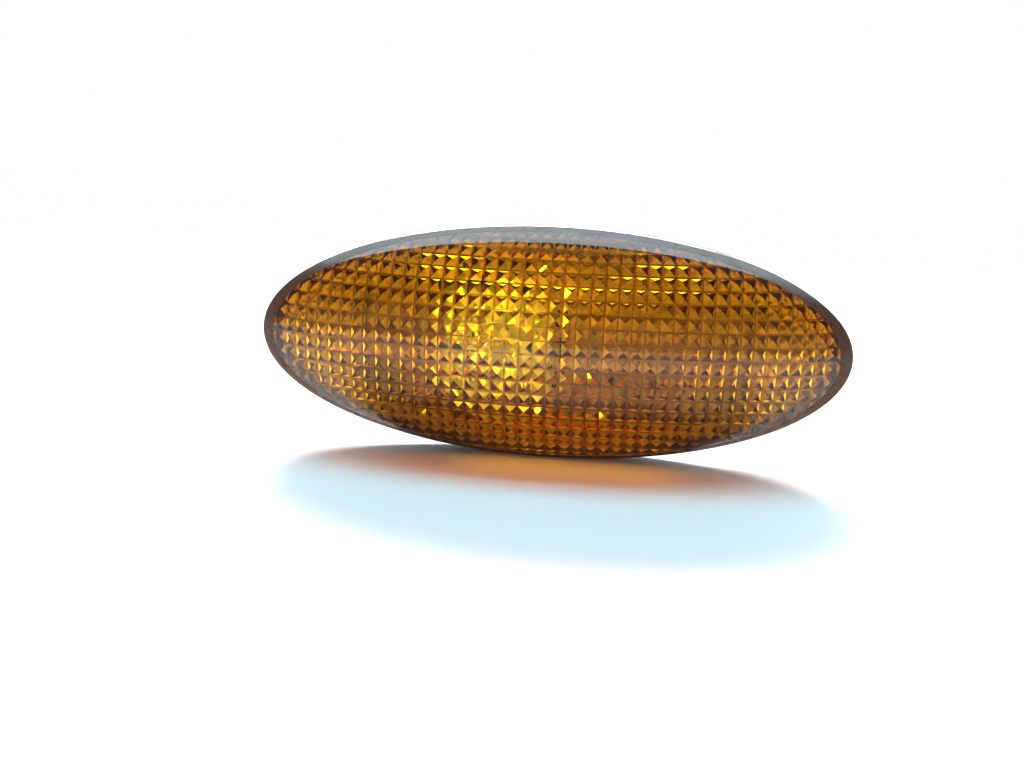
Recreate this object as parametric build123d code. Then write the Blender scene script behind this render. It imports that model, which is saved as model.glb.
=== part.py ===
"""Side repeater lamp of a car: amber prism lens, dark housing, panel fixings, bulb and quarter-turn holder.

Frame in mm: X along the lamp, Z up, the lens faces -Y. The plane Y = 0 is the outer face of the body panel.
"""
import os
from math import cos, hypot, radians, sin, sqrt, tan

from build123d import *

# Lens
lens_length = 100.0
lens_height = 39.6
dome_rise = 11.5
lens_wall = 2.0
skirt_depth = 3.6
edge_round = 1.0
cavity_inset_x = 2.1
cavity_inset_z = 1.8
prism_pitch = 2.2
prism_angle = 33.0
weld_land = 0.9

# Housing and panel fixings
gasket_thick = 2.0
gasket_inset = 0.1
flange_thick = 2.4
weld_gap = 0.1
tub_length = 0.72 * lens_length
tub_height = 0.78 * lens_height
tub_back = 3.0
tub_wall = 2.0
tub_draft = 1.5
tub_round = 1.0
panel_gap = 1.0
hook_reach = 6.0
hook_width = 12.0
hook_thick = 2.2
clip_back = 15.0
clip_thick = 3.0
rib_thick = 1.4
rib_rise = 2.0
spring_width = 8.0
spring_thick = 0.5
spring_swell = 5.0

# Bulb holder
bulb_x = -9.5
bulb_z = -1.2
hole_radius = 10.2
turn_gap = 0.2
lug_count = 3
lug_reach = 1.4
lug_width = 3.6
lug_thick = 2.1
lug_start = 40.0
turn_angle = 45.0
seal_thick = 1.6
holder_flange_radius = 12.6
holder_flange_thick = 2.0
cup_wall = 1.6
cup_floor = 2.0
socket_front = 10.0
socket_length = 20.6
socket_width = 15.4
socket_height = 10.4
socket_wall = 1.7
floor_thick = 3.0
blade_recess = 4.4

# Wedge bulb
bulb_length = 26.8
bulb_radius = 5.1
glass_wall = 0.7
wedge_width = 9.2
wedge_thick = 2.4
wedge_length = 7.6
wire_radius = 0.25
wire_spread = 2.6
wire_gap = 0.05
filament_radius = 0.3
contact_width = 2.6
contact_thick = 0.4

# Stations along Y and half sizes that follow from the sizes above
flange_back = -gasket_thick
flange_front = flange_back - flange_thick
rim = flange_back - skirt_depth
apex = rim - dome_rise
half_length = lens_length / 2
half_height = lens_height / 2
dome_radius = (half_height**2 + dome_rise**2) / (2 * dome_rise)
cavity_a = half_length - cavity_inset_x
cavity_b = half_height - cavity_inset_z
ridge_apex = apex + lens_wall
ridge_radius = dome_radius - lens_wall
ridge_stretch = cavity_a / cavity_b
tub_floor = tub_back - tub_wall
barrel_radius = hole_radius - turn_gap
lug_radius = barrel_radius + lug_reach
barrel_front = tub_floor - lug_thick - 0.9
holder_front = tub_back + seal_thick
holder_back = holder_front + holder_flange_thick
cup_back = socket_front + cup_floor
wedge_back = socket_front + wedge_length + 0.2
pocket_floor = wedge_back + 1.0
shroud_floor = pocket_floor + floor_thick
shroud_back = cup_back + socket_length
bulb_tip = wedge_back - bulb_length


def slab(sketch, front, back):
    """Sketch drawn as seen from the front (X right, Z up), made solid from one Y station to another."""
    return extrude(Plane.XZ.offset(-back) * sketch, back - front)


def box(x0, x1, front, back, z0, z1):
    return Pos((x0 + x1) / 2, (front + back) / 2, (z0 + z1) / 2) * Box(x1 - x0, back - front, z1 - z0)


def strip(points, thick):
    """Face of a bent strip whose middle line runs through the points."""
    return make_face(offset(FilletPolyline(*points, radius=thick * 1.2), thick / 2, side=Side.BOTH).edges())


def at_bulb(shape):
    return Pos(bulb_x, 0, bulb_z) * shape


def ridge_point(x, z):
    """Point of the inner dome, which runs level beyond the edge of the lens cavity."""
    reach = min(hypot(x / ridge_stretch, z), cavity_b)
    return Vector(x, ridge_apex + ridge_radius - sqrt(ridge_radius**2 - reach**2), z)


def pit_point(corners):
    """Deepest point of the pyramid pit between four ridge points."""
    middle = sum(corners, Vector()) / 4
    outward = (corners[1] - corners[3]).cross(corners[2] - corners[0]).normalized()
    if outward.Y > 0:
        outward = -outward
    return middle + outward * (prism_pitch / 2 * tan(radians(prism_angle)))


def ridge_lines(stretch, limit):
    """Ridge positions at equal steps along the dome's arc, out past the limit on both sides."""
    marks, angle, run, step = [0.0], 0.0, 0.0, 0.0005
    while marks[-1] < limit:
        run += step * ridge_radius * hypot(stretch * cos(angle), sin(angle))
        angle += step
        if run >= len(marks) * prism_pitch:
            marks.append(stretch * ridge_radius * sin(angle))
    return [-mark for mark in reversed(marks[1:])] + marks


def prism_block(back):
    """Block whose front is the prism grid: the space inside the lens before its oval trim."""
    columns = ridge_lines(ridge_stretch, cavity_a)
    rows = ridge_lines(1.0, cavity_b)
    grid = [[ridge_point(x, z) for z in rows] for x in columns]
    faces = []
    for left, right in zip(grid, grid[1:]):
        for n in range(len(rows) - 1):
            corners = [left[n], right[n], right[n + 1], left[n + 1]]
            pit = pit_point(corners)
            for k in range(4):
                faces.append(Face(Wire.make_polygon([corners[k], corners[(k + 1) % 4], pit])))
    sides = [grid[0], grid[-1], [line[0] for line in grid], [line[-1] for line in grid]]
    for side in sides:
        ends = [Vector(side[-1].X, back, side[-1].Z), Vector(side[0].X, back, side[0].Z)]
        faces.append(Face(Wire.make_polygon(side + ends)))
    rear = [(columns[i], back, rows[k]) for i, k in ((0, 0), (-1, 0), (-1, -1), (0, -1))]
    faces.append(Face(Wire.make_polygon(rear)))
    return Solid(Shell(faces))


def make_lens():
    outline = Line((flange_back, 0), (apex, 0))
    outline += RadiusArc((apex, 0), (rim, half_height), dome_radius)
    outline += Polyline((rim, half_height), (flange_back, half_height), (flange_back, 0))
    section = Plane.YZ * make_face(outline)
    corner = section.vertices().sort_by_distance((0, rim, half_height))[0]
    section = fillet(corner, edge_round)
    outer = scale(revolve(section, Axis.Y), by=(half_length / half_height, 1, 1))
    room = prism_block(0) & slab(Ellipse(cavity_a, cavity_b), apex, 0)
    seat = slab(Ellipse(cavity_a + weld_land, cavity_b + weld_land), flange_front, 0)
    return outer - room - seat


def tub_solid(inset, front, back):
    """Drafted slot-shaped body, wide at the flange; inset gives its inside."""
    shrink = 2 * (inset + (front - flange_back) * tan(radians(tub_draft)))
    sketch = SlotOverall(tub_length - shrink, tub_height - shrink)
    return extrude(Plane.XZ.offset(-front).reverse() * sketch, back - front, taper=tub_draft)


def lug_sketch(width, reach, turn):
    """Bayonet lugs, or the notches for them, round the bulb axis."""
    spots = PolarLocations(reach - lug_reach, lug_count, start_angle=lug_start - turn)
    return [spot * Rectangle(2 * lug_reach, width) for spot in spots]


def make_housing():
    edge = weld_land - weld_gap
    flange = slab(Ellipse(cavity_a + edge, cavity_b + edge), flange_front, flange_back)
    tub = tub_solid(0, flange_back, tub_back)
    tub = fillet(tub.faces().sort_by(Axis.Y)[-1].edges(), tub_round)
    end = tub_length / 2
    hook = box(-end - hook_reach, -end + 6, panel_gap, panel_gap + hook_thick, -hook_width / 2, hook_width / 2)
    hook = fillet(hook.edges().filter_by(Axis.Y), 2.0)
    root = tub_back - 0.5
    gusset_side = [(-end - hook_reach + 1.5, root), (-end + 9, root), (-end + 4, root + 5)]
    gusset = extrude(Plane.XY * make_face(Polyline(*gusset_side, close=True)), rib_thick / 2, both=True)
    rail = spring_width / 2
    clip = box(end - clip_thick, end, root, clip_back - 1, -rail - 1.6, rail + 1.6)
    body = flange + [tub, hook, gusset, clip]
    near, far = bulb_x + holder_flange_radius + 2, end - clip_thick / 2
    rib_side = [(near, root), (far, root), (far, clip_back - 3), (end - 11, tub_back + rib_rise),
                (near, tub_back + rib_rise)]
    rib_face = make_face(Polyline(*rib_side, close=True))
    for side in (-1, 1):
        outer, inner = side * (rail + 1.6), side * (rail + 0.1)
        low, high = sorted((outer, inner))
        body += box(end, end + spring_thick + 1.1, panel_gap + 3, clip_back - 4, low, high)
        low, high = sorted((outer, side * (rail - 1.0)))
        body += box(end + spring_thick + 0.1, end + spring_thick + 1.1, panel_gap + 3, clip_back - 4, low, high)
        body += extrude(Plane.XY.offset(side * (rail + 0.8)) * rib_face, rib_thick / 2, both=True)
    body -= tub_solid(tub_wall, flange_front, tub_floor)
    hole = Sketch() + [Circle(hole_radius), *lug_sketch(lug_width + 0.8, lug_radius + 0.4, turn_angle)]
    body -= at_bulb(slab(hole, tub_floor - 1, tub_back + 1))
    spots = PolarLocations(lug_radius, lug_count, start_angle=lug_start + 22)
    stops = [spot * Rectangle(lug_reach, 1.2) for spot in spots]
    body += at_bulb(slab(Sketch() + stops, tub_floor - lug_thick, tub_floor))
    vent = Pos(end / 2, tub_back - tub_wall / 2, -tub_height / 4) * Rot(90, 0, 0) * Cylinder(1.2, 2 * tub_wall)
    return body - vent


def make_gasket():
    outer = Ellipse(half_length - gasket_inset, half_height - gasket_inset)
    return slab(outer, flange_back, 0) - tub_solid(-0.15, flange_back, 1)


def make_spring():
    """Hairpin leaf: flat leg in the rails, ramp leg that swells out behind the panel edge."""
    wall = tub_length / 2 + 0.05 + spring_thick / 2
    crest = wall + spring_swell
    path = [(wall, panel_gap + 2.5), (wall, clip_back - 1.2), (wall + 1.9, clip_back - 1.2),
            (crest, panel_gap + 2.2), (crest - 1.7, panel_gap + 0.4)]
    return extrude(Plane.XY * strip(path, spring_thick), spring_width / 2, both=True)


def make_holder():
    """Cup whose rim stands in the lamp, with the wedge socket and connector shroud behind its floor."""
    body = slab(Circle(barrel_radius), barrel_front, cup_back)
    lugs = Sketch() + lug_sketch(lug_width, lug_radius, 0)
    body += slab(lugs, tub_floor - lug_thick - 0.1, tub_floor - 0.1)
    body += slab(Circle(holder_flange_radius), holder_front, holder_back)
    shroud = RectangleRounded(socket_width, socket_height, 2.2)
    body += slab(shroud, cup_back, shroud_back)
    wing = Rectangle(2 * holder_flange_radius - 1, 2.2)
    body += slab(wing, holder_back, holder_back + socket_length * 0.7)
    ramp = [(shroud_back - 4.5, socket_height / 2 + 1.2), (shroud_back - 4.5, 0), (shroud_back - 1.0, 0),
            (shroud_back - 1.0, socket_height / 2 + 0.3)]
    body += extrude(Plane.YZ * make_face(Polyline(*ramp, close=True)), 2.0, both=True)
    body -= slab(Circle(barrel_radius - cup_wall), barrel_front - 1, socket_front)
    mouth = RectangleRounded(socket_width - 2 * socket_wall, socket_height - 2 * socket_wall, 0.8)
    body -= slab(mouth, shroud_floor, shroud_back + 1)
    body -= slab(Rectangle(wedge_width + 0.8, wedge_thick + 3.6), socket_front - 1, pocket_floor)
    slots = [Pos(side * wire_spread, 0) * Rectangle(contact_width, 2 * contact_thick) for side in (-1, 1)]
    return at_bulb(body - slab(Sketch() + slots, pocket_floor - 1, shroud_floor + 1))


def make_seal():
    return at_bulb(slab(Circle(holder_flange_radius - 0.2) - Circle(barrel_radius + 0.05), tub_back, holder_front))


def make_contact(side):
    """Clip with two sprung legs on the wedge and one blade in the shroud."""
    grip = wedge_thick / 2 + 2 * (wire_radius + wire_gap) + contact_thick / 2
    rest = wedge_thick / 2 + 1.8 - contact_thick
    floor = pocket_floor - contact_thick / 2
    leg = [(socket_front + 1.4, rest), (socket_front + 4, grip), (socket_front + 6.6, rest), (floor, rest - 0.1)]
    path = leg + [(y, -z) for y, z in reversed(leg)]
    clip = extrude(Plane.YZ * strip(path, contact_thick), contact_width / 2, both=True)
    half = contact_width / 2
    clip += box(-half, half, floor, shroud_back - blade_recess, -contact_thick, contact_thick)
    return at_bulb(Pos(side * wire_spread, 0, 0) * clip)


def lead_path(side):
    """Middle line of a bulb lead: up through the wedge, folded back over one face of it."""
    face = side * (wedge_thick / 2 + wire_gap + wire_radius)
    fold = wedge_back + wire_gap + wire_radius
    points = [(bulb_tip + 7.5, 0), (fold, 0), (fold, face), (socket_front + 2.4, face)]
    return Plane.YZ.offset(side * wire_spread) * FilletPolyline(*points, radius=2 * wire_radius)


def make_lead(side):
    path = lead_path(side)
    return at_bulb(sweep(Plane(path @ 0, z_dir=path % 0) * Circle(wire_radius), path))


def make_filament():
    """Outer form of the coil, bowed between the leads."""
    y = bulb_tip + 7.9
    path = ThreePointArc((-wire_spread, y, 0), (0, y - 0.9, 0), (wire_spread, y, 0))
    coil = sweep(Plane(path @ 0, z_dir=path % 0) * Circle(filament_radius), path)
    return at_bulb(coil) - make_lead(-1) - make_lead(1)


def bulb_form(radius, tip, neck):
    """Round-ended body on the bulb axis from its tip to the neck above the wedge."""
    outline = RadiusArc((tip, 0), (tip + radius, radius), radius)
    outline += Line((tip + radius, radius), (neck - radius, radius))
    outline += RadiusArc((neck - radius, radius), (neck, 0), radius)
    outline += Line((neck, 0), (tip, 0))
    return revolve(Plane.YZ * make_face(outline), Axis.Y)


def make_glass():
    neck = socket_front + 0.6
    outer = bulb_form(bulb_radius, bulb_tip, neck)
    inner = bulb_form(bulb_radius - glass_wall, bulb_tip + glass_wall, neck - 2.4)
    wedge = slab(RectangleRounded(wedge_width, wedge_thick, 0.9), socket_front - 1.5, wedge_back)
    bores = [Pos(side * wire_spread, 0) * Circle(wire_radius) for side in (-1, 1)]
    return at_bulb(outer + wedge - inner - slab(Sketch() + bores, neck - 8, wedge_back + 1))


nodes = {
    "lens": make_lens(),
    "housing": make_housing(),
    "panel_gasket": make_gasket(),
    "retaining_spring": make_spring(),
    "bulb_holder": make_holder(),
    "holder_seal": make_seal(),
    "contact_left": make_contact(-1),
    "contact_right": make_contact(1),
    "bulb_glass": make_glass(),
    "filament": make_filament(),
    "bulb_lead_left": make_lead(-1),
    "bulb_lead_right": make_lead(1),
}

os.makedirs("parts", exist_ok=True)
for name, shape in nodes.items():
    export_step(shape, f"parts/{name}.step", write_pcurves=False)
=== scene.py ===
import math

import bmesh
import bpy
from mathutils import Matrix, Vector


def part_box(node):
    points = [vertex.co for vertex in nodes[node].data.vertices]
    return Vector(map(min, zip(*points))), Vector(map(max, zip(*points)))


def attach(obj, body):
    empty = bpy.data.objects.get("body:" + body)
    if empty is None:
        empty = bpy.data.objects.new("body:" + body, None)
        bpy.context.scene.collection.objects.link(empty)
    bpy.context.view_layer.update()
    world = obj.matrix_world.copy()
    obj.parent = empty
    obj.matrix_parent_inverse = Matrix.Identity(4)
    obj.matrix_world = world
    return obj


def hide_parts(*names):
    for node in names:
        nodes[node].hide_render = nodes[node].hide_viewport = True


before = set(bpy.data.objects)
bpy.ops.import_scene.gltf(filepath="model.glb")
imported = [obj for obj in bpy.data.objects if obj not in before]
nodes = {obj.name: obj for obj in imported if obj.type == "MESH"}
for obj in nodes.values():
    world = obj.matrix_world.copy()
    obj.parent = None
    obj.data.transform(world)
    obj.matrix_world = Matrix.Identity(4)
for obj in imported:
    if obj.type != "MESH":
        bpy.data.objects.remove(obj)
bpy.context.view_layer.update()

# Lengths are in mm in the part's frame: X to the right, Z up, the lens faces -Y
MM = 0.001
SHARP = math.radians(18)

# Lens: dome and skirt
HALF_LENGTH, HALF_HEIGHT = 50.0, 19.8
APEX, RIM, LENS_BACK, SEAT = -17.1, -5.6, -2.0, -4.38
DOME_RADIUS = (HALF_HEIGHT**2 + (RIM - APEX)**2) / (2 * (RIM - APEX))
EDGE_ROUND, EDGE_CHAMFER = 1.0, 0.15
DOME_STEPS, EDGE_STEPS, LENS_SEGMENTS = 48, 8, 256

# Lens: hollow with its prism grid
CAVITY_A, CAVITY_B, WELD_LAND = 47.9, 18.0, 0.9
WALL = 2.0
RIDGE_APEX, RIDGE_RADIUS = APEX + WALL, DOME_RADIUS - WALL
RIDGE_STRETCH = CAVITY_A / CAVITY_B
PITCH, PRISM_ANGLE, RIDGE_FLAT = 2.2, 33.0, 0.14
ARC_STEP = 0.0005  # radians
BLOCK_BACK, OVAL_FRONT = -1.0, -40.0

# Lens: limits of the face marks
INSIDE_DEPTH, SEAT_MARGIN, RIM_WIDTH = 0.7, 0.05, 0.9
RIDGE_COSINE = 0.95
# Painted shade on the rim: its reflection is cut below the top height, and fully at the fade height
# below that
RIM_SHADE_TOP, RIM_SHADE_FADE = 14.0, 20.0

# Filament and breather
WIRE_RADIUS, COIL_TURNS, POINTS_PER_TURN = 0.06, 22, 14
VENT_X, VENT_Z = 18.0, -7.72
FOAM_FRONT, FOAM_BACK, FOAM_RADIUS, FOAM_SEGMENTS = 1.1, 2.9, 1.15, 32

# Inside of the housing, as boxes, and a ring of painted light round its bulb hole, standing in for
# light spilled there from the holder
PAN_BOX = (-35, -5, -14.2), (35, 2, 14.2)
FLANGE_BOX = (-48.9, -5, -19), (48.9, -3.5, 19)
GLOW_CENTRE, GLOW_RADII = (-8.5, 0.0, 1.5), (16.0, 9.0, 17.0)

# Floor
FLOOR_SIDE, FLOOR_FRONT, FLOOR_BACK = 480, -480, 420
FLOOR_FADE_RADIUS, FLOOR_FADE_END, FLOOR_GLOW = 330, 0.6, 0.45

# Band of a noise texture's values that colours and roughness spread over
NOISE_LOW, NOISE_HIGH = 0.3, 0.7


# Mesh helpers

def link(name, data):
    obj = bpy.data.objects.new(name, data)
    bpy.context.collection.objects.link(obj)
    return obj


def add_mesh(name, verts, faces):
    mesh = bpy.data.meshes.new(name)
    mesh.from_pydata([Vector(v) * MM for v in verts], [], faces)
    mesh.validate()
    return link(name, mesh)


def evaluated_mesh(obj):
    graph = bpy.context.evaluated_depsgraph_get()
    return bpy.data.meshes.new_from_object(obj.evaluated_get(graph))


def outward(obj):
    bm = bmesh.new()
    bm.from_mesh(obj.data)
    bmesh.ops.remove_doubles(bm, verts=bm.verts, dist=1e-9)
    bmesh.ops.recalc_face_normals(bm, faces=bm.faces)
    bm.to_mesh(obj.data)
    bm.free()


def smooth(mesh):
    mesh.polygons.foreach_set("use_smooth", [True] * len(mesh.polygons))
    mesh.set_sharp_from_angle(angle=SHARP)


def turned(name, profile, stretch, segments):
    """Closed solid turned about Y and stretched along X.

    The profile's (y, radius) points start and end on the axis.
    """
    verts, faces, rings = [], [], []
    for y, r in profile:
        if r == 0:
            rings.append([len(verts)])
            verts.append((0, y, 0))
            continue
        rings.append(list(range(len(verts), len(verts) + segments)))
        for k in range(segments):
            a = 2 * math.pi * k / segments
            verts.append((stretch * r * math.cos(a), y, r * math.sin(a)))
    for low, high in zip(rings, rings[1:]):
        for k in range(segments):
            n = (k + 1) % segments
            if len(low) == 1:
                faces.append((low[0], high[n], high[k]))
            elif len(high) == 1:
                faces.append((low[k], low[n], high[0]))
            else:
                faces.append((low[k], low[n], high[n], high[k]))
    obj = add_mesh(name, verts, faces)
    outward(obj)
    return obj


def slug(name, front, back, radius, stretch, segments):
    """Plain turned block between two planes."""
    profile = [(front, 0.0), (front, radius), (back, radius), (back, 0.0)]
    return turned(name, profile, stretch, segments)


def boolean(target, tool, operation):
    mod = target.modifiers.new("cut", "BOOLEAN")
    mod.operation = operation
    mod.solver = "EXACT"
    mod.object = tool
    mesh = evaluated_mesh(target)
    target.modifiers.remove(mod)
    old = target.data
    target.data = mesh
    bpy.data.meshes.remove(old)
    bpy.data.objects.remove(tool)


# Lens: dome outside, pyramid pits with narrow flat ridges inside

def ridge_point(x, z):
    reach = min(math.hypot(x / RIDGE_STRETCH, z), CAVITY_B)
    y = RIDGE_APEX + RIDGE_RADIUS - math.sqrt(RIDGE_RADIUS**2 - reach**2)
    return Vector((x, y, z))


def ridge_lines(stretch, limit):
    """Places of the ridges along one axis, at equal steps along the dome's arc."""
    marks, angle, run = [0.0], 0.0, 0.0
    while marks[-1] < limit:
        run += ARC_STEP * RIDGE_RADIUS * math.hypot(stretch * math.cos(angle), math.sin(angle))
        angle += ARC_STEP
        if run >= len(marks) * PITCH:
            marks.append(stretch * RIDGE_RADIUS * math.sin(angle))
    return [-mark for mark in reversed(marks[1:])] + marks


def ridge_edges(stretch, limit):
    return [line + d for line in ridge_lines(stretch, limit) for d in (-RIDGE_FLAT, RIDGE_FLAT)]


def prism_block():
    """Block whose front is the grid of pits.

    Each ridge line is two edges with a narrow flat between them.
    """
    xs = ridge_edges(RIDGE_STRETCH, CAVITY_A)
    zs = ridge_edges(1.0, CAVITY_B)
    verts = [ridge_point(x, z) for x in xs for z in zs]
    depth = (PITCH / 2 - RIDGE_FLAT) * math.tan(math.radians(PRISM_ANGLE))
    count = len(zs)
    faces = []
    for i in range(len(xs) - 1):
        for k in range(count - 1):
            first, second = i * count + k, (i + 1) * count + k
            corners = [first, second, second + 1, first + 1]
            if i % 2 and k % 2:
                a, b, c, d = (verts[n] for n in corners)
                normal = (b - d).cross(c - a).normalized()
                normal = -normal if normal.y > 0 else normal
                verts.append((a + b + c + d) / 4 + normal * depth)
                tip = len(verts) - 1
                faces += [(corners[n], corners[(n + 1) % 4], tip) for n in range(4)]
            else:
                faces += [tuple(corners[:3]), (corners[0], corners[2], corners[3])]
    back = len(verts)
    last = (len(xs) - 1) * count
    plan = (xs[0], zs[0]), (xs[-1], zs[0]), (xs[-1], zs[-1]), (xs[0], zs[-1])
    verts += [Vector((x, BLOCK_BACK, z)) for x, z in plan]
    faces.append((back, back + 1, back + 2, back + 3))
    faces.append([k for k in range(count)] + [back + 3, back])
    faces.append([last + k for k in range(count)] + [back + 2, back + 1])
    faces.append([i * count for i in range(len(xs))] + [back + 1, back])
    faces.append([i * count + count - 1 for i in range(len(xs))] + [back + 2, back + 3])
    obj = add_mesh("prism_block", verts, faces)
    outward(obj)
    return obj


def lens_profile():
    """Outer half section: dome arc, rounded rim, skirt and back."""
    centre = APEX + DOME_RADIUS
    reach = DOME_RADIUS - EDGE_ROUND
    radial = HALF_HEIGHT - EDGE_ROUND
    corner_y = centre - math.sqrt(reach**2 - radial**2)
    start = math.asin(radial / reach)
    points = [(APEX, 0.0)]
    for k in range(1, DOME_STEPS + 1):
        a = start * k / DOME_STEPS
        points.append((centre - DOME_RADIUS * math.cos(a), DOME_RADIUS * math.sin(a)))
    for k in range(1, EDGE_STEPS + 1):
        a = start + (math.pi / 2 - start) * k / EDGE_STEPS
        points.append((corner_y - EDGE_ROUND * math.cos(a), radial + EDGE_ROUND * math.sin(a)))
    points.append((LENS_BACK - EDGE_CHAMFER, HALF_HEIGHT))
    points.append((LENS_BACK, HALF_HEIGHT - EDGE_CHAMFER))
    points.append((LENS_BACK, 0.0))
    return points


def mark_faces(mesh):
    """Face marks for the material.

    They are the prism side of the wall, the flat ridges on it, which get painted shade,
    the dark rim round it, partly a weld bead and partly painted shade, and how much painted shade
    cuts the rim's reflection, which fades out towards its top.
    """
    marks = {"inside": [], "ridge": [], "rim": [], "matt": []}
    for face in mesh.polygons:
        x, y, z = face.center / MM
        flat_x = x * HALF_HEIGHT / HALF_LENGTH
        reach = Vector((flat_x, y - APEX - DOME_RADIUS, z)).length
        before_seat = y <= SEAT - SEAT_MARGIN
        inside = reach < DOME_RADIUS - INSIDE_DEPTH and y < SEAT - SEAT_MARGIN
        across = Vector((x / RIDGE_STRETCH**2, y - RIDGE_APEX - RIDGE_RADIUS, z)).normalized()
        ridge = inside and abs(face.normal.dot(across)) > RIDGE_COSINE
        skirt = math.hypot(flat_x, z) > HALF_HEIGHT - RIM_WIDTH
        # The rim is the weld faces behind the seat plus the outer band of the skirt. Both get a
        # dark opaque colour: on the first it is the real weld bead, on the second it is painted
        # shade
        rim = not before_seat or (not inside and skirt)
        marks["inside"].append(float(inside))
        marks["ridge"].append(float(ridge))
        marks["rim"].append(float(rim))
        # Painted shade: the rim's reflection is cut more towards its bottom
        marks["matt"].append(rim * min(max((RIM_SHADE_TOP - z) / RIM_SHADE_FADE, 0.0), 1.0))
    for name, values in marks.items():
        mesh.attributes.new(name, "FLOAT", "FACE").data.foreach_set("value", values)


def make_lens():
    lens = turned("lens_dome", lens_profile(), HALF_LENGTH / HALF_HEIGHT, LENS_SEGMENTS)
    room = prism_block()
    oval = slug("oval", OVAL_FRONT, 0, CAVITY_B, RIDGE_STRETCH, LENS_SEGMENTS)
    boolean(room, oval, "INTERSECT")
    boolean(lens, room, "DIFFERENCE")
    seat_radius = CAVITY_B + WELD_LAND
    seat_stretch = (CAVITY_A + WELD_LAND) / seat_radius
    seat = slug("seat", SEAT, 0, seat_radius, seat_stretch, LENS_SEGMENTS)
    boolean(lens, seat, "DIFFERENCE")
    smooth(lens.data)
    mark_faces(lens.data)
    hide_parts("lens")
    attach(lens, "lamp")
    return lens


def make_filament():
    """Coiled wire along the bowed line of the solid it replaces."""
    low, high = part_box("filament")
    mid_x, mid_z = (low.x + high.x) / 2, (low.z + high.z) / 2
    half = (high.x - low.x) / 2
    wire = WIRE_RADIUS * MM
    coil = (high.z - low.z) / 2 - wire
    curve = bpy.data.curves.new("filament_coil", "CURVE")
    curve.dimensions = "3D"
    curve.bevel_depth = wire
    curve.bevel_resolution = 2
    curve.use_fill_caps = True
    spline = curve.splines.new("POLY")
    total = COIL_TURNS * POINTS_PER_TURN + 1
    spline.points.add(total - 1)
    for n in range(total):
        t = n / (total - 1) * 2 - 1
        a = 2 * math.pi * n / POINTS_PER_TURN
        bow = low.y + coil + wire + (high.y - low.y - 2 * (coil + wire)) * t * t
        y, z = bow + coil * math.sin(a), mid_z + coil * math.cos(a)
        spline.points[n].co = (mid_x + t * half, y, z, 1)
    line = link("filament_line", curve)
    mesh = evaluated_mesh(line)
    bpy.data.objects.remove(line)
    smooth(mesh)
    obj = link("filament_coil", mesh)
    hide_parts("filament")
    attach(obj, "holder")
    return obj


def make_breather_foam():
    """Foam plug in the housing's breather hole."""
    foam = slug("breather_foam", FOAM_FRONT, FOAM_BACK, FOAM_RADIUS, 1.0, FOAM_SEGMENTS)
    foam.data.transform(Matrix.Translation(Vector((VENT_X, 0, VENT_Z)) * MM))
    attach(foam, "lamp")
    return foam


# Shader helpers

def new_material(name):
    mat = bpy.data.materials.new(name)
    mat.use_nodes = True
    tree = mat.node_tree
    return mat, tree, tree.nodes["Principled BSDF"]


def plug(tree, value, socket):
    """Link a socket, or set a constant, on the given input."""
    if isinstance(value, bpy.types.NodeSocket):
        tree.links.new(value, socket)
    else:
        socket.default_value = value


def calculate(tree, operation, *values):
    node = tree.nodes.new("ShaderNodeMath")
    node.operation = operation
    for value, socket in zip(values, node.inputs):
        plug(tree, value, socket)
    return node.outputs["Value"]


def blend(tree, factor, a, b, kind="FLOAT"):
    """Mix of two values or colours; each is a socket or a constant."""
    node = tree.nodes.new("ShaderNodeMix")
    node.data_type = kind
    sockets = [s for s in node.inputs if s.enabled]
    for socket, value in zip(sockets, (factor, a, b)):
        plug(tree, value, socket)
    return [s for s in node.outputs if s.enabled][0]


def blend_shaders(tree, factor, a, b):
    node = tree.nodes.new("ShaderNodeMixShader")
    for socket, value in zip(node.inputs, (factor, a, b)):
        plug(tree, value, socket)
    return node.outputs["Shader"]


def object_coords(tree):
    return tree.nodes.new("ShaderNodeTexCoord").outputs["Object"]


def noise(tree, scale, detail=4.0, roughness=0.55, stretch=None):
    tex = tree.nodes.new("ShaderNodeTexNoise")
    tex.inputs["Scale"].default_value = scale
    tex.inputs["Detail"].default_value = detail
    tex.inputs["Roughness"].default_value = roughness
    place = object_coords(tree)
    if stretch:
        mapping = tree.nodes.new("ShaderNodeMapping")
        mapping.inputs["Scale"].default_value = stretch
        tree.links.new(place, mapping.inputs["Vector"])
        place = mapping.outputs["Vector"]
    tree.links.new(place, tex.inputs["Vector"])
    return tex.outputs["Fac"]


def ramp(tree, fac, stops):
    node = tree.nodes.new("ShaderNodeValToRGB")
    ends = node.color_ramp.elements
    ends[0].position, ends[0].color = stops[0][0], (*stops[0][1], 1)
    ends[1].position, ends[1].color = stops[-1][0], (*stops[-1][1], 1)
    for place, colour in stops[1:-1]:
        ends.new(place).color = (*colour, 1)
    tree.links.new(fac, node.inputs["Fac"])
    return node.outputs["Color"]


def mottle(tree, fac, dark, light):
    return ramp(tree, fac, [(NOISE_LOW, dark), (NOISE_HIGH, light)])


def spread(tree, fac, low, high, start=NOISE_LOW, end=NOISE_HIGH):
    node = tree.nodes.new("ShaderNodeMapRange")
    node.inputs["From Min"].default_value = start
    node.inputs["From Max"].default_value = end
    node.inputs["To Min"].default_value = low
    node.inputs["To Max"].default_value = high
    tree.links.new(fac, node.inputs["Value"])
    return node.outputs["Result"]


def bump(tree, bsdf, height, strength, distance):
    """Surface relief; the distance is in mm."""
    node = tree.nodes.new("ShaderNodeBump")
    node.inputs["Strength"].default_value = strength
    node.inputs["Distance"].default_value = distance * MM
    tree.links.new(height, node.inputs["Height"])
    tree.links.new(node.outputs["Normal"], bsdf.inputs["Normal"])


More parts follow.
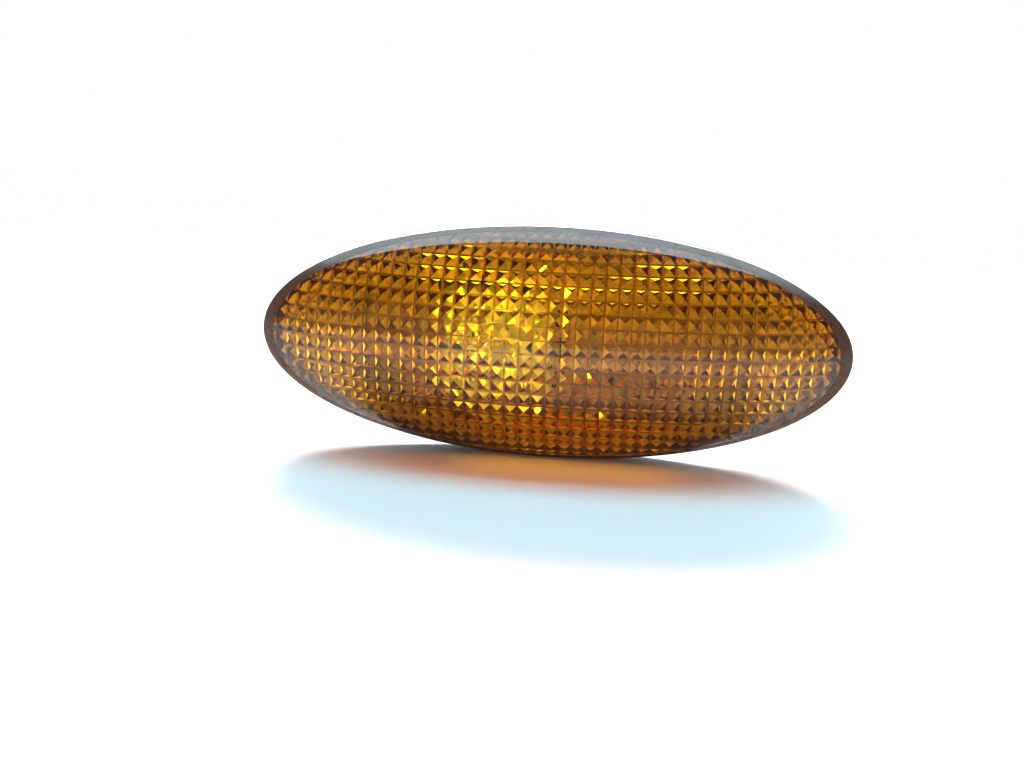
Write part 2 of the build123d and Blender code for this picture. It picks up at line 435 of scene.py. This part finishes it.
def within(tree, low, high):
    """1 inside the given box and 0 outside it."""
    split = tree.nodes.new("ShaderNodeSeparateXYZ")
    tree.links.new(object_coords(tree), split.inputs["Vector"])
    total = 1.0
    for axis, a, b in zip("XYZ", low, high):
        middle, half = (a + b) / 2 * MM, (b - a) / 2 * MM
        near = calculate(tree, "COMPARE", split.outputs[axis], middle, half)
        total = calculate(tree, "MULTIPLY", total, near)
    return total


def around(tree, centre, radii, start=0.02, end=0.3):
    """1 in the middle of an ellipsoid, fading to 0 at its edge."""
    place = tree.nodes.new("ShaderNodeMapping")
    place.vector_type = "TEXTURE"
    place.inputs["Location"].default_value = [c * MM for c in centre]
    place.inputs["Scale"].default_value = [r * MM for r in radii]
    tree.links.new(object_coords(tree), place.inputs["Vector"])
    ball = tree.nodes.new("ShaderNodeTexGradient")
    ball.gradient_type = "SPHERICAL"
    tree.links.new(place.outputs["Vector"], ball.inputs["Vector"])
    return spread(tree, ball.outputs["Fac"], 0.0, 1.0, start, end)


def face_mask(tree, name):
    node = tree.nodes.new("ShaderNodeAttribute")
    node.attribute_name = name
    return node.outputs["Fac"]


# Materials

def moulded(name, dark, light, rough, grain, depth):
    """Moulded rubber: faint mottling, uneven sheen and a fine grain."""
    mat, tree, bsdf = new_material(name)
    cloud = noise(tree, 180.0)
    fine = noise(tree, grain, 3.0)
    tree.links.new(mottle(tree, cloud, dark, light), bsdf.inputs["Base Color"])
    tree.links.new(spread(tree, fine, *rough), bsdf.inputs["Roughness"])
    bump(tree, bsdf, fine, 0.35, depth)
    return mat


def metal(name, dark, light, rough, stretch):
    """Drawn or rolled metal: streaks along one axis, slightly uneven colour."""
    mat, tree, bsdf = new_material(name)
    bsdf.inputs["Metallic"].default_value = 1.0
    streak = noise(tree, 900.0, 3.0, 0.6, stretch)
    cloud = noise(tree, 260.0)
    tree.links.new(mottle(tree, cloud, dark, light), bsdf.inputs["Base Color"])
    tree.links.new(spread(tree, streak, *rough), bsdf.inputs["Roughness"])
    bump(tree, bsdf, streak, 0.2, 0.02)
    return mat


def housing_plastic():
    """Dark grained moulding, metallised inside, with a ring of painted light round the bulb hole.
    """
    mat, tree, bsdf = new_material("dark_moulding")
    cloud = noise(tree, 180.0)
    fine = noise(tree, 2200.0, 3.0)
    outside = mottle(tree, cloud, (0.010, 0.010, 0.011), (0.022, 0.022, 0.024))
    mirror = mottle(tree, cloud, (0.46, 0.46, 0.45), (0.54, 0.54, 0.53))
    # Painted light: a pale ring round the bulb hole stands in for light spilled from the holder and
    # widens the bright patch
    painted_glow = mottle(tree, cloud, (0.78, 0.78, 0.76), (0.86, 0.86, 0.84))
    mirror = blend(tree, around(tree, GLOW_CENTRE, GLOW_RADII), mirror, painted_glow, "RGBA")
    inside = calculate(tree, "MAXIMUM", within(tree, *PAN_BOX), within(tree, *FLANGE_BOX))
    tree.links.new(blend(tree, inside, outside, mirror, "RGBA"), bsdf.inputs["Base Color"])
    grained, polished = spread(tree, fine, 0.3, 0.48), spread(tree, fine, 0.05, 0.1)
    tree.links.new(blend(tree, inside, grained, polished), bsdf.inputs["Roughness"])
    tree.links.new(blend(tree, inside, 0.0, 1.0), bsdf.inputs["Metallic"])
    bump(tree, bsdf, fine, 0.35, 0.03)
    return mat


def amber():
    """Clear amber moulding, with painted shade on its ridges and a dark rim, part weld bead and
    part painted shade.

    The wall deepens the tint. Light that only passes through on its way to
    another surface is stained instead of bent.
    """
    mat, tree, bsdf = new_material("amber_lens")
    inside, ridge, rim, matt = (face_mask(tree, n) for n in ("inside", "ridge", "rim", "matt"))
    haze = noise(tree, 400.0, 5.0)
    tint = mottle(tree, haze, (1.0, 0.64, 0.11), (1.0, 0.68, 0.14))
    # Painted shade: the ridges are coloured dark brown, standing in for the shade their rounded
    # edges give
    tint = blend(tree, ridge, tint, (0.30, 0.14, 0.05, 1), "RGBA")
    # Dark opaque rim colour: the weld bead on the seat and back faces, and painted shade on the
    # skirt's outer band in place of the dark flange seen through the clear edge
    weld_and_painted_shade = mottle(tree, haze, (0.095, 0.038, 0.022), (0.115, 0.046, 0.025))
    tree.links.new(blend(tree, rim, tint, weld_and_painted_shade, "RGBA"), bsdf.inputs["Base Color"])
    polished, satin = spread(tree, haze, 0.03, 0.06), spread(tree, haze, 0.22, 0.36)
    tree.links.new(blend(tree, rim, polished, satin), bsdf.inputs["Roughness"])
    # Painted shade: the rim's specular level drops towards its bottom so that the lower rim stays
    # dark
    tree.links.new(blend(tree, matt, 0.5, 0.06), bsdf.inputs["Specular IOR Level"])
    clear = blend(tree, rim, blend(tree, inside, 1.0, 0.99), 0.0)
    tree.links.new(clear, bsdf.inputs["Transmission Weight"])
    bsdf.inputs["IOR"].default_value = 1.49
    volume = tree.nodes.new("ShaderNodeVolumeAbsorption")
    volume.inputs["Color"].default_value = (0.995, 0.94, 0.10, 1)
    volume.inputs["Density"].default_value = 1400.0
    rays = tree.nodes.new("ShaderNodeLightPath")
    stain = tree.nodes.new("ShaderNodeBsdfTransparent")
    stain.inputs["Color"].default_value = (1.0, 0.74, 0.40, 1)
    surface = blend_shaders(
        tree, rays.outputs["Is Shadow Ray"], bsdf.outputs["BSDF"], stain.outputs["BSDF"])
    output = tree.nodes["Material Output"]
    tree.links.new(surface, output.inputs["Surface"])
    tree.links.new(volume.outputs["Volume"], output.inputs["Volume"])
    return mat


def clear_glass():
    """Blown glass with a slight wave."""
    mat, tree, bsdf = new_material("clear_glass")
    bsdf.inputs["Base Color"].default_value = (0.97, 0.985, 1.0, 1)
    bsdf.inputs["Transmission Weight"].default_value = 1.0
    bsdf.inputs["IOR"].default_value = 1.5
    wave = noise(tree, 120.0, 2.0)
    tree.links.new(spread(tree, wave, 0.0, 0.02), bsdf.inputs["Roughness"])
    bump(tree, bsdf, wave, 0.05, 0.2)
    return mat


def nylon():
    """Natural nylon: pale, satin, and lit through where light falls on its far side."""
    mat, tree, bsdf = new_material("pale_moulding")
    cloud = noise(tree, 150.0)
    fine = noise(tree, 2600.0, 3.0)
    colour = mottle(tree, cloud, (0.50, 0.485, 0.44), (0.57, 0.56, 0.52))
    tree.links.new(colour, bsdf.inputs["Base Color"])
    tree.links.new(spread(tree, fine, 0.34, 0.5), bsdf.inputs["Roughness"])
    bump(tree, bsdf, fine, 0.25, 0.02)
    through = tree.nodes.new("ShaderNodeBsdfTranslucent")
    tree.links.new(colour, through.inputs["Color"])
    surface = blend_shaders(tree, 0.6, bsdf.outputs["BSDF"], through.outputs["BSDF"])
    tree.links.new(surface, tree.nodes["Material Output"].inputs["Surface"])
    return mat


def dress(obj, mat):
    obj.data.materials.clear()
    obj.data.materials.append(mat)


def dress_all(lens, coil, foam):
    rubber = moulded(
        "soft_seal", (0.012, 0.012, 0.013), (0.03, 0.03, 0.031), (0.65, 0.85), 1500.0, 0.08)
    steel = metal(
        "spring_steel", (0.50, 0.51, 0.54), (0.66, 0.67, 0.70), (0.22, 0.4), (1, 1, 12))
    brass = metal(
        "contact_brass", (0.62, 0.44, 0.17), (0.83, 0.66, 0.32), (0.2, 0.38), (12, 1, 12))
    wire = metal(
        "lead_wire", (0.50, 0.46, 0.40), (0.68, 0.64, 0.57), (0.2, 0.36), (14, 1, 14))
    tungsten = metal(
        "tungsten", (0.22, 0.22, 0.23), (0.34, 0.34, 0.35), (0.35, 0.5), (1, 1, 1))
    dress(lens, amber())
    dress(coil, tungsten)
    dress(foam, rubber)
    dress(nodes["housing"], housing_plastic())
    dress(nodes["panel_gasket"], rubber)
    dress(nodes["holder_seal"], rubber)
    dress(nodes["retaining_spring"], steel)
    dress(nodes["bulb_holder"], nylon())
    dress(nodes["contact_left"], brass)
    dress(nodes["contact_right"], brass)
    dress(nodes["bulb_glass"], clear_glass())
    dress(nodes["bulb_lead_left"], wire)
    dress(nodes["bulb_lead_right"], wire)


# Floor, light and camera

def make_floor():
    """Pale floor under the lens, with a glow that grows with distance and hides its edges."""
    plan = [(-FLOOR_SIDE, FLOOR_FRONT), (FLOOR_SIDE, FLOOR_FRONT),
            (FLOOR_SIDE, FLOOR_BACK), (-FLOOR_SIDE, FLOOR_BACK)]
    floor = add_mesh("floor", [(x, y, -HALF_HEIGHT) for x, y in plan], [(0, 1, 2, 3)])
    mat, tree, bsdf = new_material("floor")
    colour = mottle(tree, noise(tree, 8.0), (0.89, 0.90, 0.91), (0.92, 0.93, 0.94))
    tree.links.new(colour, bsdf.inputs["Base Color"])
    bsdf.inputs["Roughness"].default_value = 0.6
    bsdf.inputs["Emission Color"].default_value = (1.0, 1.0, 1.0, 1)
    near = around(tree, (0, 0, 0), [FLOOR_FADE_RADIUS] * 3, 0.0, FLOOR_FADE_END)
    glow = spread(tree, near, FLOOR_GLOW, 0.0, 0.0, 1.0)
    tree.links.new(glow, bsdf.inputs["Emission Strength"])
    dress(floor, mat)


def area_light(name, place, target, size, power, colour, cone=180.0):
    """Rectangular light: sizes in mm, power in watts, opening of its beam in degrees."""
    data = bpy.data.lights.new(name, "AREA")
    data.shape = "RECTANGLE"
    data.size, data.size_y = size[0] * MM, size[1] * MM
    data.energy = power
    data.color = colour
    data.spread = math.radians(cone)
    lamp = link(name, data)
    lamp.location = Vector(place) * MM
    aim = (Vector(target) - Vector(place)).normalized()
    lamp.rotation_euler = aim.to_track_quat("-Z", "Y").to_euler()
    lamp.visible_camera = False


def make_lights():
    """Soft studio light from behind and overhead.

    Two small lights in the lamp stand for daylight through the holder, which
    shows as the bright patch, and through the lens, which tints the floor.
    """
    area_light("behind", (-45, 450, 335), (0, 0, 0), (420, 110), 8.0, (1.0, 0.93, 0.84))
    area_light("holder", (-9.5, -4.5, -1.2), (-9.5, 10, -1.2), (15, 15), 0.0080,
               (1.0, 0.98, 0.90), 110.0)
    area_light("overhead", (0, 95, 400), (0, 95, 0), (900, 150), 2.45, (0.66, 0.92, 1.0))
    area_light("inner", (5, -10, -7), (5, -11.5, -19.8), (34, 4), 0.00025,
               (1.0, 0.86, 0.65), 75.0)
    area_light("low", (0, 500, 160), (0, 0, 0), (900, 110), 0.5, (0.85, 0.95, 1.0))


def make_world():
    """Soft light, dim on the camera's side and pale near the ground.

    The camera itself sees a plain white ground.
    """
    world = bpy.data.worlds.new("studio")
    bpy.context.scene.world = world
    world.use_nodes = True
    tree = world.node_tree
    coords = tree.nodes.new("ShaderNodeTexCoord")
    split = tree.nodes.new("ShaderNodeSeparateXYZ")
    tree.links.new(coords.outputs["Generated"], split.inputs["Vector"])
    front, middle, rear = (0.13, 0.15, 0.16), (0.30, 0.42, 0.50), (0.62, 0.86, 1.0)
    rise = spread(tree, split.outputs["Y"], 0.0, 1.0, -0.3, 0.4)
    shade = ramp(tree, rise, [(0.0, front), (0.5, middle), (1.0, rear)])
    low = spread(tree, split.outputs["Z"], 1.0, 0.0, 0.0, 0.5)
    shade = blend(tree, low, shade, (0.62, 0.70, 0.76, 1), "RGBA")
    sky = tree.nodes["Background"]
    tree.links.new(shade, sky.inputs["Color"])
    sky.inputs["Strength"].default_value = 0.75
    plain = tree.nodes.new("ShaderNodeBackground")
    plain.inputs["Color"].default_value = (0.99, 0.995, 1.0, 1)
    rays = tree.nodes.new("ShaderNodeLightPath")
    surface = blend_shaders(
        tree, rays.outputs["Is Camera Ray"], sky.outputs["Background"], plain.outputs["Background"])
    tree.links.new(surface, tree.nodes["World Output"].inputs["Surface"])


def make_camera():
    """Camera at the photo's angle, from the fit to the outline and the prism grid."""
    data = bpy.data.cameras.new("camera")
    data.sensor_width = 36.0
    data.lens = 35.15625
    data.clip_start = 0.005
    camera = link("camera", data)
    camera.location = Vector((9.45, -171.85, 30.45)) * MM
    camera.rotation_euler = [math.radians(a) for a in (77.272, -2.352, 5.909)]
    bpy.context.scene.camera = camera


def set_light_paths(scene):
    scene.view_settings.view_transform = "Standard"
    scene.cycles.use_denoising = True
    scene.cycles.max_bounces = 24
    scene.cycles.transparent_max_bounces = 32
    scene.cycles.glossy_bounces = 16
    scene.cycles.transmission_bounces = 24


dress_all(make_lens(), make_filament(), make_breather_foam())
make_floor()
make_world()
make_lights()
make_camera()
set_light_paths(bpy.context.scene)
